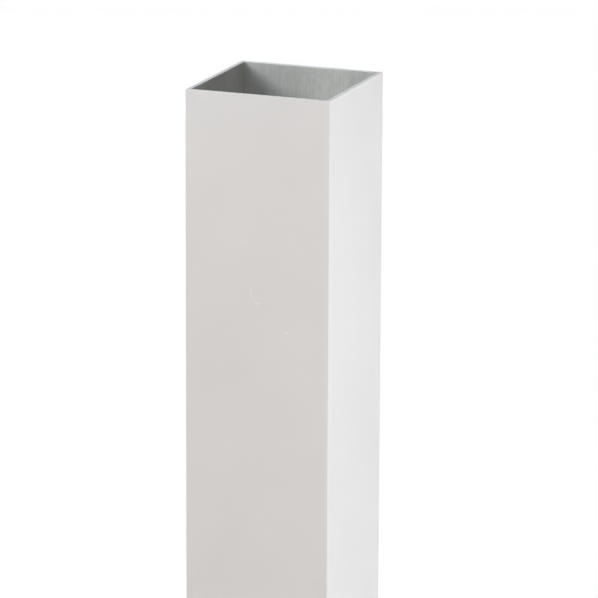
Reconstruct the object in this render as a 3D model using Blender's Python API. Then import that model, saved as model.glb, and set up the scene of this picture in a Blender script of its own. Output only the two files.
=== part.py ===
"""Square aluminium fence post, white powder coated, standing on its cut end.

The post is one extruded hollow section: four flat walls of even thickness, small radii along the corners inside and
out, and a saw cut at each end with its burr taken off. Both ends are open. The powder coat covers the outside, and
the bore and the cut ends are bare metal. The origin is at the middle of the foot, with +Z up and the walls square to
X and Y. Sizes are in metres.
"""

import math

import bmesh
import bpy

# Driving dimensions
HEIGHT = 1.200
WIDTH = 0.100
WALL = 0.003
OUTER_CORNER_RADIUS = 0.0004
INNER_CORNER_RADIUS = 0.0005
END_BURR_CHAMFER = 0.00025

# Flat steps round each corner radius
CORNER_STEPS = 4

# An edge that turns by more than this stays sharp in the shading
SHARP_EDGE_DEG = 30.0

# Places of the two finishes in the post's list of materials
COAT = 0
BARE_METAL = 1


def clear_scene():
    """Remove every object that the file starts with."""
    for obj in list(bpy.data.objects):
        bpy.data.objects.remove(obj, do_unlink=True)


def make_finish(name, colour, roughness, metallic):
    """Return a Principled material with a linear RGB colour."""
    material = bpy.data.materials.new(name)
    material.use_nodes = True
    shader = material.node_tree.nodes["Principled BSDF"]
    shader.inputs["Base Color"].default_value = (*colour, 1.0)
    shader.inputs["Roughness"].default_value = roughness
    shader.inputs["Metallic"].default_value = metallic
    return material


def make_powder_coat():
    """Return the satin, slightly warm white of the outside."""
    return make_finish("white_powder_coat", (0.66, 0.63, 0.60), 0.38, 0.0)


def make_bare_aluminium():
    """Return the grey metal of the bore and of the saw cuts."""
    return make_finish("bare_aluminium", (0.62, 0.62, 0.61), 0.52, 1.0)


def wall_outlines():
    """Return the square outlines met on the way round the wall: up the outside, over the rim, down the bore and
    under the foot. Each has its width, its corner radius, its height and the finish of the band up to the next.
    """
    bore = WIDTH - 2 * WALL
    rim_outside = WIDTH - 2 * END_BURR_CHAMFER
    rim_inside = bore + 2 * END_BURR_CHAMFER
    top = HEIGHT - END_BURR_CHAMFER
    return [
        (WIDTH, OUTER_CORNER_RADIUS, END_BURR_CHAMFER, COAT),
        (WIDTH, OUTER_CORNER_RADIUS, top, COAT),
        (rim_outside, OUTER_CORNER_RADIUS, HEIGHT, BARE_METAL),
        (rim_inside, INNER_CORNER_RADIUS, HEIGHT, BARE_METAL),
        (bore, INNER_CORNER_RADIUS, top, BARE_METAL),
        (bore, INNER_CORNER_RADIUS, END_BURR_CHAMFER, BARE_METAL),
        (rim_inside, INNER_CORNER_RADIUS, 0.0, BARE_METAL),
        (rim_outside, OUTER_CORNER_RADIUS, 0.0, COAT),
    ]


def add_rounded_square(bm, width, radius, height):
    """Add the points of a square outline with rounded corners, anticlockwise from above, and return them."""
    to_corner_centre = math.sqrt(2.0) * (width / 2 - radius)
    verts = []
    for corner in range(4):
        start = math.radians(90.0 * corner)
        diagonal = start + math.radians(45.0)
        centre_x = to_corner_centre * math.cos(diagonal)
        centre_y = to_corner_centre * math.sin(diagonal)
        for step in range(CORNER_STEPS + 1):
            angle = start + math.radians(90.0) * step / CORNER_STEPS
            x = centre_x + radius * math.cos(angle)
            y = centre_y + radius * math.sin(angle)
            verts.append(bm.verts.new((x, y, height)))
    return verts


def add_band(bm, lower, upper, finish):
    """Join two outlines point by point with a band of four-sided faces in one finish."""
    for index in range(len(lower)):
        after = (index + 1) % len(lower)
        face = bm.faces.new((lower[index], lower[after], upper[after], upper[index]))
        face.material_index = finish


def build_fence_post():
    """Build the post by joining each outline of the wall to the next, back round to the first."""
    outlines = wall_outlines()
    bm = bmesh.new()
    loops = [add_rounded_square(bm, width, radius, height) for width, radius, height, _ in outlines]
    for index, (_, _, _, finish) in enumerate(outlines):
        add_band(bm, loops[index], loops[(index + 1) % len(loops)], finish)
    bmesh.ops.recalc_face_normals(bm, faces=bm.faces)

    mesh = bpy.data.meshes.new("fence_post")
    bm.to_mesh(mesh)
    bm.free()
    mesh.materials.append(make_powder_coat())
    mesh.materials.append(make_bare_aluminium())
    mesh.shade_smooth()
    mesh.set_sharp_from_angle(angle=math.radians(SHARP_EDGE_DEG))

    post = bpy.data.objects.new("fence_post", mesh)
    bpy.context.scene.collection.objects.link(post)
    return post


clear_scene()
build_fence_post()
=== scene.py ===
"""Finish, light and camera for the square aluminium fence post.

The post is one extruded hollow section. Its outside is white satin powder coat, its bore is bare mill-finish
aluminium with the fine die lines of the extrusion, and its two ends are saw cut and bare. It stands on its
foot, and its open upper end is called the rim. Sizes are in metres, or in millimetres where a name says so.
"""

import logging
import math
import random
from dataclasses import dataclass, field
from enum import IntEnum

import bmesh
import bpy
from mathutils import Matrix, Vector

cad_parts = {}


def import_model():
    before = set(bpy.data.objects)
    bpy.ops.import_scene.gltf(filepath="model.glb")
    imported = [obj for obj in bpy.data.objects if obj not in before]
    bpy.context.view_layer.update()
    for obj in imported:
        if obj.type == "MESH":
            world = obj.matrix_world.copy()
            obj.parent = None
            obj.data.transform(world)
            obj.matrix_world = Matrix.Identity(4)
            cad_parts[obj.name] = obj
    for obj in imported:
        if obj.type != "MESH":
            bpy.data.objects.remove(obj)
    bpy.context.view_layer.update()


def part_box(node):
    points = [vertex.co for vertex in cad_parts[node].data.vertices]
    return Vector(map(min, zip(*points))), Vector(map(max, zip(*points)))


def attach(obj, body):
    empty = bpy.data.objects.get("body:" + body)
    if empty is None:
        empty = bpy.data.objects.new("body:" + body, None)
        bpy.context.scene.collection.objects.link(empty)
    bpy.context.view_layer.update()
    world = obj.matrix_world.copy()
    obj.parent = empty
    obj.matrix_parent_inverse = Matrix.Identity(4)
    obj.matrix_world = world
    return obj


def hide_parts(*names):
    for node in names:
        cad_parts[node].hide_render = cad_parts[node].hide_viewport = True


log = logging.getLogger("fence_post")

MM = 0.001
NODE = "fence_post"
WHITE = (1.0, 1.0, 1.0, 1.0)
SIDES = 4

# The part of a noise's range that a pattern is drawn from. The narrow one gives more contrast.
WIDE_SPAN = (0.3, 0.7)
NARROW_SPAN = (0.35, 0.65)


def hex_to_linear(code: str) -> tuple[float, float, float, float]:
    """Turn an sRGB hex colour into linear RGBA, by the curve of the sRGB standard.

    Args:
        code: Six hex digits, with or without a leading #.

    Returns:
        The linear red, green and blue, and an alpha of 1.
    """
    digits = code.lstrip("#")
    channels = [int(digits[i:i + 2], 16) / 255 for i in (0, 2, 4)]
    linear = [c / 12.92 if c <= 0.04045 else ((c + 0.055) / 1.055) ** 2.4 for c in channels]
    return (linear[0], linear[1], linear[2], 1.0)


def direction(azimuth_deg: float, elevation_deg: float) -> Vector:
    """Point from the post towards a place round it.

    Args:
        azimuth_deg: The angle round the post: 0 is in front and 90 is to the right.
        elevation_deg: The angle above the horizon.

    Returns:
        A direction of length 1.
    """
    azimuth, elevation = math.radians(azimuth_deg), math.radians(elevation_deg)
    return Vector((math.sin(azimuth) * math.cos(elevation), -math.cos(azimuth) * math.cos(elevation),
                   math.sin(elevation)))


def add_node(tree: bpy.types.NodeTree, kind: str, inputs: dict | None = None,
             **settings: object) -> bpy.types.Node:
    """Add a node, set its properties, and fill or link its inputs.

    Args:
        tree: The node tree that takes the node.
        kind: The node's type name.
        inputs: Input names or places, each with a plain value or with an output socket to link.
        **settings: Properties of the node itself.

    Returns:
        The new node.
    """
    node = tree.nodes.new(kind)
    for name, value in settings.items():
        setattr(node, name, value)
    for name, value in (inputs or {}).items():
        if isinstance(value, bpy.types.NodeSocket):
            tree.links.new(value, node.inputs[name])
        else:
            node.inputs[name].default_value = value
    return node


def new_material(name: str, roughness: float,
                 metallic: float = 0.0) -> tuple[bpy.types.Material, bpy.types.Node]:
    """Make a material with one Principled shader.

    Args:
        name: The material's name.
        roughness: How matt it is, from 0 to 1.
        metallic: 1 for bare metal, and 0 for anything else.

    Returns:
        The material, and its shader node.
    """
    material = bpy.data.materials.new(name)
    material.use_nodes = True
    shader = material.node_tree.nodes["Principled BSDF"]
    shader.inputs["Roughness"].default_value = roughness
    shader.inputs["Metallic"].default_value = metallic
    return material, shader


class Surface(IntEnum):
    """The post's finishes, in the order of its material slots."""

    COAT = 0
    BORE = 1
    CUT = 2


@dataclass(frozen=True)
class ScuffLine:
    """A pale rub mark on the front face, from one point to another.

    Each point is millimetres across from the face's middle and millimetres down from the rim.
    """

    start: tuple[float, float]
    end: tuple[float, float]
    half_width_mm: float
    strength: float


@dataclass(frozen=True)
class PowderCoat:
    """White polyester powder coat, sprayed on dry and melted in an oven, with a few light rub marks."""

    # The eye gets a slightly warm white with wide, soft highlights. The melt leaves a faint orange peel, and
    # the film's uneven thickness leaves slow clouds in the tone. Both are drawn at their real size.
    colour: str = "#D3CDC9"
    rub_colour: str = "#F6F5F4"
    roughness: float = 0.38
    orange_peel_mm: float = 1.8
    orange_peel_depth_mm: float = 0.016
    orange_peel_detail: float = 2.0
    cloud_mm: float = 60.0
    cloud_depth: float = 0.015
    cloud_detail: float = 3.0

    # Two small groups of marks, where something has rubbed the coat paler without cutting through it
    scuffs: tuple[ScuffLine, ...] = (
        ScuffLine((-4.1, 131.0), (-3.7, 131.0), 1.1, 0.18),
        ScuffLine((-5.0, 133.1), (-3.2, 134.6), 0.9, 0.12),
        ScuffLine((-3.2, 134.6), (-0.8, 137.5), 0.9, 0.13),
        ScuffLine((-0.2, 138.5), (1.5, 138.4), 0.45, 0.55),
        ScuffLine((-0.3, 140.1), (0.1, 140.1), 1.1, 0.18),
        ScuffLine((17.9, 154.6), (19.6, 155.9), 0.5, 0.12),
        ScuffLine((20.5, 156.4), (21.1, 156.5), 0.65, 0.75),
    )

    def scuff_mask(self, tree: bpy.types.NodeTree, place: bpy.types.NodeSocket, rim_height: float,
                   front_y: float) -> bpy.types.NodeSocket:
        """Build how strongly each point of the front face is rubbed.

        Args:
            tree: The material's node tree.
            place: The surface point in the post's own axes.
            rim_height: The height of the rim.
            front_y: Where the front face lies.

        Returns:
            A value socket, 0 where the coat is clean.
        """
        total = None
        for scuff in self.scuffs:
            start, end = (Vector((across * MM, front_y, rim_height - down * MM))
                          for across, down in (scuff.start, scuff.end))
            along = end - start

            # The distance from the surface point to the nearest point of the line between the two ends
            from_start = add_node(tree, "ShaderNodeVectorMath", {0: place, 1: start},
                                  operation="SUBTRACT").outputs[0]
            share = add_node(tree, "ShaderNodeVectorMath", {0: from_start, 1: along / along.length_squared},
                             operation="DOT_PRODUCT").outputs["Value"]
            share = add_node(tree, "ShaderNodeClamp", {"Value": share}).outputs[0]
            nearest = add_node(tree, "ShaderNodeVectorMath", {0: along, "Scale": share},
                               operation="SCALE").outputs[0]
            distance = add_node(tree, "ShaderNodeVectorMath", {0: from_start, 1: nearest},
                                operation="DISTANCE").outputs["Value"]

            mask = add_node(tree, "ShaderNodeMapRange",
                            {"Value": distance, "From Min": 0.0, "From Max": scuff.half_width_mm * MM,
                             "To Min": scuff.strength, "To Max": 0.0},
                            interpolation_type="SMOOTHSTEP").outputs[0]
            total = mask if total is None else add_node(tree, "ShaderNodeMath", {0: total, 1: mask},
                                                        operation="MAXIMUM").outputs[0]
        return total

    def material(self, rim_height: float, front_y: float) -> bpy.types.Material:
        """Make the coat's material.

        Args:
            rim_height: The height of the rim, which the rub marks are measured from.
            front_y: Where the front face lies.

        Returns:
            The material.
        """
        material, shader = new_material("satin_white_powder_coat", self.roughness)
        tree = material.node_tree
        place = add_node(tree, "ShaderNodeTexCoord").outputs["Object"]

        cloud = add_node(tree, "ShaderNodeTexNoise",
                         {"Vector": place, "Scale": 1.0 / (self.cloud_mm * MM),
                          "Detail": self.cloud_detail}).outputs[0]
        tone = add_node(tree, "ShaderNodeMapRange",
                        {"Value": cloud, "From Min": WIDE_SPAN[0], "From Max": WIDE_SPAN[1],
                         "To Min": 1.0 - self.cloud_depth, "To Max": 1.0 + self.cloud_depth}).outputs[0]
        clouded = add_node(tree, "ShaderNodeVectorMath", {0: hex_to_linear(self.colour)[:3], "Scale": tone},
                           operation="SCALE").outputs[0]
        rub = self.scuff_mask(tree, place, rim_height, front_y)
        colour = add_node(tree, "ShaderNodeMix",
                          {"Factor": rub, "A": clouded, "B": hex_to_linear(self.rub_colour)},
                          data_type="RGBA").outputs["Result"]
        tree.links.new(colour, shader.inputs["Base Color"])

        peel = add_node(tree, "ShaderNodeTexNoise",
                        {"Vector": place, "Scale": 1.0 / (self.orange_peel_mm * MM),
                         "Detail": self.orange_peel_detail}).outputs[0]
        bump = add_node(tree, "ShaderNodeBump",
                        {"Height": peel, "Distance": self.orange_peel_depth_mm * MM,
                         "Strength": 1.0}).outputs[0]
        tree.links.new(bump, shader.inputs["Normal"])
        return material


@dataclass(frozen=True)
class MillFinish:
    """Bare aluminium as it leaves the extrusion die, never sanded or coated."""

    # The eye gets a matt grey with fine streaks that run the length of the bore, and a short mottle where
    # the metal dragged on the die. Real streaks are 0.1 to 0.5 mm wide. These are drawn coarser, so that
    # they show.
    colour: str = "#D2D2CE"
    dark_streak: str = "#C9C9C5"
    roughness: float = 0.52
    streak_mm: float = 1.1
    streak_length_mm: float = 400.0
    mottle_mm: float = 1.6
    mottle_length_mm: float = 5.0
    mottle_depth: float = 0.065
    grain_detail: float = 2.0

    # Broad bands of random tone, from metal that ran faster or slower through the die. They are also painted
    # light: their place is set so that a light band lies on the right of the back wall, where the bore is lit
    # more. In a dark band the streaks are fainter, down to this share of their strength.
    band_mm: float = 45.0
    band_depth: float = 0.10
    painted_light_band_place: tuple[float, float, float] = (2.0, 0.0, 0.0)
    faint_streaks: float = 0.45

    @staticmethod
    def grain(tree: bpy.types.NodeTree, place: bpy.types.NodeSocket, width_mm: float, length_mm: float,
              detail: float, shift: tuple[float, float, float] = (0.0, 0.0, 0.0)) -> bpy.types.NodeSocket:
        """Build a noise that is drawn out along the bore.

        Args:
            tree: The material's node tree.
            place: The surface point in the post's own axes.
            width_mm: The grain's size across the bore.
            length_mm: The grain's size along the bore.
            detail: How many finer layers are added.
            shift: How far the pattern is moved, in grains.

        Returns:
            A value socket, about 0.3 to 0.7.
        """
        across, along = 1.0 / (width_mm * MM), 1.0 / (length_mm * MM)
        stretched = add_node(tree, "ShaderNodeMapping",
                             {"Vector": place, "Location": shift, "Scale": (across, across, along)})
        noise = add_node(tree, "ShaderNodeTexNoise",
                         {"Vector": stretched.outputs["Vector"], "Scale": 1.0, "Detail": detail})
        return noise.outputs[0]

    def material(self) -> bpy.types.Material:
        """Make the bore's material.

        Returns:
            The material.
        """
        material, shader = new_material("mill_finish_aluminium", self.roughness, metallic=1.0)
        tree = material.node_tree
        place = add_node(tree, "ShaderNodeTexCoord").outputs["Object"]
        low, high = NARROW_SPAN

        # The bands' place paints extra light on the right of the back wall, on top of the die's random tone
        patch = self.grain(tree, place, self.band_mm, self.streak_length_mm, 0.0, self.painted_light_band_place)
        band = add_node(tree, "ShaderNodeMapRange",
                        {"Value": patch, "From Min": low, "From Max": high,
                         "To Min": 1.0 - self.band_depth, "To Max": 1.0 + self.band_depth}).outputs[0]
        contrast = add_node(tree, "ShaderNodeMapRange",
                            {"Value": patch, "From Min": low, "From Max": high,
                             "To Min": self.faint_streaks, "To Max": 1.0}).outputs[0]

        streak = self.grain(tree, place, self.streak_mm, self.streak_length_mm, self.grain_detail)
        streak = add_node(tree, "ShaderNodeMapRange",
                          {"Value": streak, "From Min": low, "From Max": high}).outputs[0]
        streak = add_node(tree, "ShaderNodeMix", {"Factor": contrast, "A": 0.5, "B": streak},
                          data_type="FLOAT").outputs["Result"]
        streaked = add_node(tree, "ShaderNodeMix",
                            {"Factor": streak, "A": hex_to_linear(self.dark_streak),
                             "B": hex_to_linear(self.colour)},
                            data_type="RGBA").outputs["Result"]

        mottle = self.grain(tree, place, self.mottle_mm, self.mottle_length_mm, self.grain_detail)
        mottle = add_node(tree, "ShaderNodeMapRange",
                          {"Value": mottle, "From Min": WIDE_SPAN[0], "From Max": WIDE_SPAN[1],
                           "To Min": 1.0 - self.mottle_depth, "To Max": 1.0 + self.mottle_depth}).outputs[0]
        tone = add_node(tree, "ShaderNodeMath", {0: band, 1: mottle}, operation="MULTIPLY").outputs[0]
        colour = add_node(tree, "ShaderNodeVectorMath", {0: streaked, "Scale": tone},
                          operation="SCALE").outputs[0]
        tree.links.new(colour, shader.inputs["Base Color"])
        return material


@dataclass(frozen=True)
class SawCut:
    """Aluminium cut through by a fine-toothed circular saw and left bare."""

    # The eye gets a pale, slightly bluish grey with close arcs that the blade left. Real tooth marks are 0.1
    # to 0.3 mm apart. These are drawn coarser, so that they show.
    colour: str = "#C8C9CC"
    roughness: float = 0.60
    blade_radius_mm: float = 180.0
    tooth_mark_mm: float = 0.6
    tooth_mark_depth_mm: float = 0.01

    def material(self) -> bpy.types.Material:
        """Make the material of the cut ends.

        Returns:
            The material.
        """
        material, shader = new_material("saw_cut_aluminium", self.roughness, metallic=1.0)
        tree = material.node_tree
        shader.inputs["Base Color"].default_value = hex_to_linear(self.colour)

        # Rings round the blade's centre, which lies beyond the left front corner as seen from above
        place = add_node(tree, "ShaderNodeTexCoord").outputs["Object"]
        blade_centre = (-self.blade_radius_mm * MM, -self.blade_radius_mm * MM, 0.0)
        flat = add_node(tree, "ShaderNodeVectorMath", {0: place, 1: (1.0, 1.0, 0.0)},
                        operation="MULTIPLY").outputs[0]
        reach = add_node(tree, "ShaderNodeVectorMath", {0: flat, 1: blade_centre},
                         operation="DISTANCE").outputs["Value"]
        phase = add_node(tree, "ShaderNodeMath", {0: reach, 1: math.tau / (self.tooth_mark_mm * MM)},
                         operation="MULTIPLY").outputs[0]
        ridge = add_node(tree, "ShaderNodeMath", {0: phase}, operation="SINE").outputs[0]
        bump = add_node(tree, "ShaderNodeBump",
                        {"Height": ridge, "Distance": self.tooth_mark_depth_mm * MM,
                         "Strength": 1.0}).outputs[0]
        tree.links.new(bump, shader.inputs["Normal"])
        return material


@dataclass
class FencePost:
    """The extruded post: its section, its two cut ends and its three finishes.

    Every outline round the wall has the same number of points, so that each joins the next one point by
    point. The points along a flat side are the die lines, whose depth shows only in the bore. Real die lines
    are under 0.5 mm apart. These are drawn coarser, about 1.2 mm apart, so that they show.
    """

    low: Vector
    high: Vector
    wall: float = 3.0 * MM
    outer_radius: float = 0.4 * MM
    bore_radius: float = 0.5 * MM
    arris: float = 0.25 * MM
    arris_steps: int = 3
    corner_steps: int = 6
    die_lines: int = 80
    gap_spread: float = 0.5
    die_line_depth: float = 0.006 * MM
    seed: int = 7
    sharp_edge_deg: float = 50.0
    width: float = field(init=False)
    stations: list[list[float]] = field(init=False)
    reliefs: list[list[float]] = field(init=False)

    def __post_init__(self) -> None:
        """Work out the width and draw the die lines of the four inner walls.

        Stations run from -1 to 1 along a flat side, and a relief is how deep the bore's wall is cut there.
        """
        self.width = self.high.x - self.low.x
        draw = random.Random(self.seed)
        self.stations = []
        self.reliefs = []
        for _ in range(SIDES):
            gaps = [draw.uniform(1 - self.gap_spread, 1 + self.gap_spread) for _ in range(self.die_lines)]
            total = sum(gaps)
            self.stations.append([2 * sum(gaps[:i]) / total - 1 for i in range(self.die_lines + 1)])
            self.reliefs.append([0.0] + [draw.uniform(0.0, self.die_line_depth) for _ in gaps[1:]] + [0.0])

    def outline(self, width: float, radius: float, relief: float, height: float) -> list[Vector]:
        """Lay out the points of one square outline, anticlockwise from above, starting on the front side.

        Args:
            width: The width across the flats.
            radius: The corner radius.
            relief: How much of the die lines' depth the flats show, from 0 to 1.
            height: The outline's height.

        Returns:
            The points in order.
        """
        points = []
        half = width / 2
        flat = half - radius
        for side in range(SIDES):
            turn = math.radians(90.0 * side)
            along = Vector((math.cos(turn), math.sin(turn), 0.0))
            outward = Vector((math.sin(turn), -math.cos(turn), 0.0))
            for station, depth in zip(self.stations[side], self.reliefs[side]):
                points.append(along * flat * station + outward * (half + relief * depth))
            centre = along * flat + outward * flat
            for step in range(1, self.corner_steps):
                angle = math.radians(90.0) * step / self.corner_steps
                points.append(centre + radius * (outward * math.cos(angle) + along * math.sin(angle)))
        return [point + Vector((0.0, 0.0, height)) for point in points]

    def cut_end(self, end: float, inward: float) -> tuple[list[list[Vector]], list[list[Vector]]]:
        """Lay out the outlines over the two rounded arrises of a cut end, each from the wall to the cut.

        Args:
            end: The height of the cut.
            inward: Which way the post runs from the cut: 1 is up and -1 is down.

        Returns:
            The outlines of the outer arris, and those of the inner one.
        """
        bore = self.width - 2 * self.wall
        outside, inside = [], []
        for step in range(self.arris_steps + 1):
            angle = math.radians(90.0) * step / self.arris_steps
            inset = self.arris * (1 - math.cos(angle))
            height = end + inward * self.arris * (1 - math.sin(angle))
            outside.append(self.outline(self.width - 2 * inset, self.outer_radius, 0.0, height))
            inside.append(self.outline(bore + 2 * inset, self.bore_radius, 1.0, height))
        return outside, inside

    def wall_rings(self) -> list[tuple[list[Vector], Surface]]:
        """Go once round the wall's section: up the outside, over the rim, down the bore and under the foot.

        Returns:
            Each outline with the surface of the band that leads on to the next one.
        """
        foot_outside, foot_inside = self.cut_end(self.low.z, 1.0)
        rim_outside, rim_inside = self.cut_end(self.high.z, -1.0)
        rings = [(ring, Surface.COAT) for ring in reversed(foot_outside)]
        rings += [(ring, Surface.COAT) for ring in rim_outside[:-1]]
        rings.append((rim_outside[-1], Surface.CUT))
        rings += [(ring, Surface.CUT) for ring in reversed(rim_inside[1:])]
        rings.append((rim_inside[0], Surface.BORE))
        rings += [(ring, Surface.CUT) for ring in foot_inside]
        return rings

    def build(self) -> bpy.types.Object:
        """Build the post's closed mesh and give each band its finish.

        Returns:
            The post's object, linked to the scene.
        """
        bm = bmesh.new()
        rings = self.wall_rings()
        loops = [[bm.verts.new(point) for point in ring] for ring, _ in rings]
        for index, (_, surface) in enumerate(rings):
            ring, following = loops[index], loops[(index + 1) % len(loops)]
            for i in range(len(ring)):
                j = (i + 1) % len(ring)
                face = bm.faces.new((ring[i], ring[j], following[j], following[i]))
                face.material_index = surface
                face.smooth = True
        bmesh.ops.recalc_face_normals(bm, faces=bm.faces)
        mesh = bpy.data.meshes.new("post")
        bm.to_mesh(mesh)
        bm.free()
        mesh.set_sharp_from_angle(angle=math.radians(self.sharp_edge_deg))
        post = bpy.data.objects.new("post", mesh)
        bpy.context.scene.collection.objects.link(post)
        return post

    def dress(self, post: bpy.types.Object, coat: PowderCoat, bore: MillFinish, cut: SawCut) -> None:
        """Give the post its three finishes in the order of Surface.

        Args:
            post: The post's object.
            coat: The finish of the outside.
            bore: The finish of the inside.
            cut: The finish of the ends.
        """
        post.data.materials.append(coat.material(self.high.z, self.low.y))
        post.data.materials.append(bore.material())
        post.data.materials.append(cut.material())


@dataclass(frozen=True)
class PhotoCamera:
    """A long lens that looks down on the post's open end from the front right.

    It has no shift, which every other view would keep. It stands further off than the photo's camera did, as
    a compromise between upright edges and the shape of the open end.
    """

    azimuth_deg: float = 20.84
    elevation_deg: float = 14.62
    roll_deg: float = 0.26
    distance: float = 3.045
    lens_mm: float = 280.2
    sensor_mm: float = 36.0
    aim_right: float = 0.0091
    aim_up: float = -0.1429
    clip_end: float = 200.0

    def place(self, rim_centre: Vector) -> None:
        """Create the camera and make it the scene's own.

        Args:
            rim_centre: The middle of the open end, which the aim is measured from.
        """
        azimuth, roll = math.radians(self.azimuth_deg), math.radians(self.roll_deg)
        right = Vector((math.cos(azimuth), math.sin(azimuth), 0.0))
        back = direction(self.azimuth_deg, self.elevation_deg)
        up = back.cross(right)
        right, up = right * math.cos(roll) + up * math.sin(roll), up * math.cos(roll) - right * math.sin(roll)
        aim = rim_centre + right * self.aim_right + up * self.aim_up
        data = bpy.data.cameras.new("photo_camera")
        data.lens = self.lens_mm
        data.sensor_width = self.sensor_mm
        data.clip_end = self.clip_end
        camera = bpy.data.objects.new("photo_camera", data)
        turn = Matrix((right, up, back)).transposed()
        camera.matrix_world = Matrix.Translation(aim + back * self.distance) @ turn.to_4x4()
        bpy.context.scene.collection.objects.link(camera)
        bpy.context.scene.camera = camera


@dataclass(frozen=True)
class Softbox:
    """A soft light, aimed from a given side and height angle at a point on or below the middle of the rim."""

    name: str
    azimuth_deg: float
    elevation_deg: float
    distance: float
    width: float
    height: float
    power_w: float
    colour: str = "#FFFFFF"
    drop: float = 0.0

    def place(self, rim_centre: Vector) -> None:
        """Create the light and turn it to the point that it faces.

        Args:
            rim_centre: The middle of the rim. The light faces a point that lies the drop below it.
        """
        target = rim_centre - Vector((0.0, 0.0, self.drop))
        towards = direction(self.azimuth_deg, self.elevation_deg)
        data = bpy.data.lights.new(self.name, "AREA")
        data.shape = "RECTANGLE"
        data.size = self.width
        data.size_y = self.height
        data.energy = self.power_w
        data.color = hex_to_linear(self.colour)[:3]
        light = bpy.data.objects.new(self.name, data)
        light.location = target + towards * self.distance
        light.rotation_euler = towards.to_track_quat("Z", "Y").to_euler()
        light.visible_camera = False
        bpy.context.scene.collection.objects.link(light)


@dataclass(frozen=True)
class GlowBand:
    """A ring of even soft light all round the studio, between two angles above the horizon.

    Its edges are soft, and the edge value is half their width as a change in the angle's sine.
    """

    low_deg: float
    high_deg: float
    strength: float
    edge: float = 0.01

    def level(self, tree: bpy.types.NodeTree, lift: bpy.types.NodeSocket) -> bpy.types.NodeSocket:
        """Build the band's light level.

        Args:
            tree: The world's node tree.
            lift: The sine of the angle above the horizon.

        Returns:
            A value socket, zero outside the band.
        """
        low, high = math.sin(math.radians(self.low_deg)), math.sin(math.radians(self.high_deg))
        rise = add_node(tree, "ShaderNodeMapRange",
                        {"Value": lift, "From Min": low - self.edge, "From Max": low + self.edge,
                         "To Min": 0.0, "To Max": self.strength}).outputs[0]
        fall = add_node(tree, "ShaderNodeMapRange",
                        {"Value": lift, "From Min": high - self.edge, "From Max": high + self.edge,
                         "To Min": 1.0, "To Max": 0.0}).outputs[0]
        return add_node(tree, "ShaderNodeMath", {0: rise, 1: fall}, operation="MULTIPLY").outputs[0]


@dataclass(frozen=True)
class Studio:
    """A plain pale floor under soft studio light: bands of glow all round, and softboxes near the post."""

    # A white sweep from straight down up to eye level, a soft band above it, and a bright ceiling. The ends
    # at -91 and 91 degrees lie just past straight down and straight up.
    glow: tuple[GlowBand, ...] = (
        GlowBand(-91.0, 2.9, 1.05),
        GlowBand(14.5, 23.6, 0.72),
        GlowBand(66.9, 91.0, 6.9),
    )

    # The side softbox ends level with the rim, so that it doesn't shine into the bore. The low one goes on
    # under it, after a gap, down to the floor.
    softboxes: tuple[Softbox, ...] = (
        Softbox("key_softbox", azimuth_deg=-34.0, elevation_deg=23.5, distance=1.7, width=0.9,
                height=0.6, power_w=8.0),
        Softbox("crown_softbox", azimuth_deg=-35.0, elevation_deg=45.0, distance=0.40, width=0.20,
                height=0.20, power_w=0.24, colour="#B4E2FF"),
        Softbox("side_softbox", azimuth_deg=76.0, elevation_deg=0.0, distance=0.45, width=0.20,
                height=0.10, power_w=0.89, colour="#E5F3FF", drop=0.05),
        Softbox("low_side_softbox", azimuth_deg=76.0, elevation_deg=0.0, distance=0.45, width=0.20,
                height=0.87, power_w=1.77, colour="#E5F3FF", drop=0.765),
        Softbox("back_softbox", azimuth_deg=205.0, elevation_deg=17.0, distance=1.7, width=1.0,
                height=1.0, power_w=2.7),
    )
    floor_colour: str = "#F4F4F4"
    floor_radius: float = 60.0
    floor_segments: int = 96

    def light_world(self) -> None:
        """Make the world's soft light, which depends on the height angle alone."""
        world = bpy.data.worlds.new("studio")
        bpy.context.scene.world = world
        world.use_nodes = True
        tree = world.node_tree
        tree.nodes.clear()
        sky_point = add_node(tree, "ShaderNodeTexCoord").outputs["Generated"]
        lift = add_node(tree, "ShaderNodeSeparateXYZ", {"Vector": sky_point}).outputs["Z"]
        total = None
        for band in self.glow:
            level = band.level(tree, lift)
            total = level if total is None else add_node(tree, "ShaderNodeMath", {0: total, 1: level},
                                                         operation="ADD").outputs[0]
        background = add_node(tree, "ShaderNodeBackground", {"Color": WHITE, "Strength": total}).outputs[0]
        add_node(tree, "ShaderNodeOutputWorld", {"Surface": background})

    def lay_floor(self, height: float) -> None:
        """Lay the plain pale floor that the post stands on.

        Args:
            height: The floor's height.
        """
        bm = bmesh.new()
        bmesh.ops.create_circle(bm, cap_ends=True, segments=self.floor_segments, radius=self.floor_radius)
        mesh = bpy.data.meshes.new("studio_floor")
        bm.to_mesh(mesh)
        bm.free()
        material, shader = new_material("matt_white_floor", roughness=1.0)
        shader.inputs["Base Color"].default_value = hex_to_linear(self.floor_colour)
        shader.inputs["Specular IOR Level"].default_value = 0.0
        mesh.materials.append(material)
        floor = bpy.data.objects.new("studio_floor", mesh)
        floor.location.z = height
        bpy.context.scene.collection.objects.link(floor)

    def place_softboxes(self, rim_centre: Vector) -> None:
        """Place every softbox round the post, whose rim has this middle."""
        for softbox in self.softboxes:
            softbox.place(rim_centre)


def main() -> None:
    """Build the post, dress it, and set up the camera and the studio round it."""
    logging.basicConfig(level=logging.INFO, format="%(name)s: %(message)s")
    bpy.context.scene.view_settings.view_transform = "Standard"

    low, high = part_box(NODE)
    fence_post = FencePost(low, high)
    post = fence_post.build()
    fence_post.dress(post, PowderCoat(), MillFinish(), SawCut())
    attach(post, "root")
    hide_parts(NODE)
    log.info("post: %d faces in %d finishes", len(post.data.polygons), len(post.data.materials))

    rim_centre = Vector(((low.x + high.x) / 2, (low.y + high.y) / 2, high.z))
    PhotoCamera().place(rim_centre)
    studio = Studio()
    studio.light_world()
    studio.lay_floor(low.z)
    studio.place_softboxes(rim_centre)
    log.info("studio: camera, floor, %d glow bands, %d softboxes", len(studio.glow), len(studio.softboxes))


if __name__ == "__main__":
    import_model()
    main()
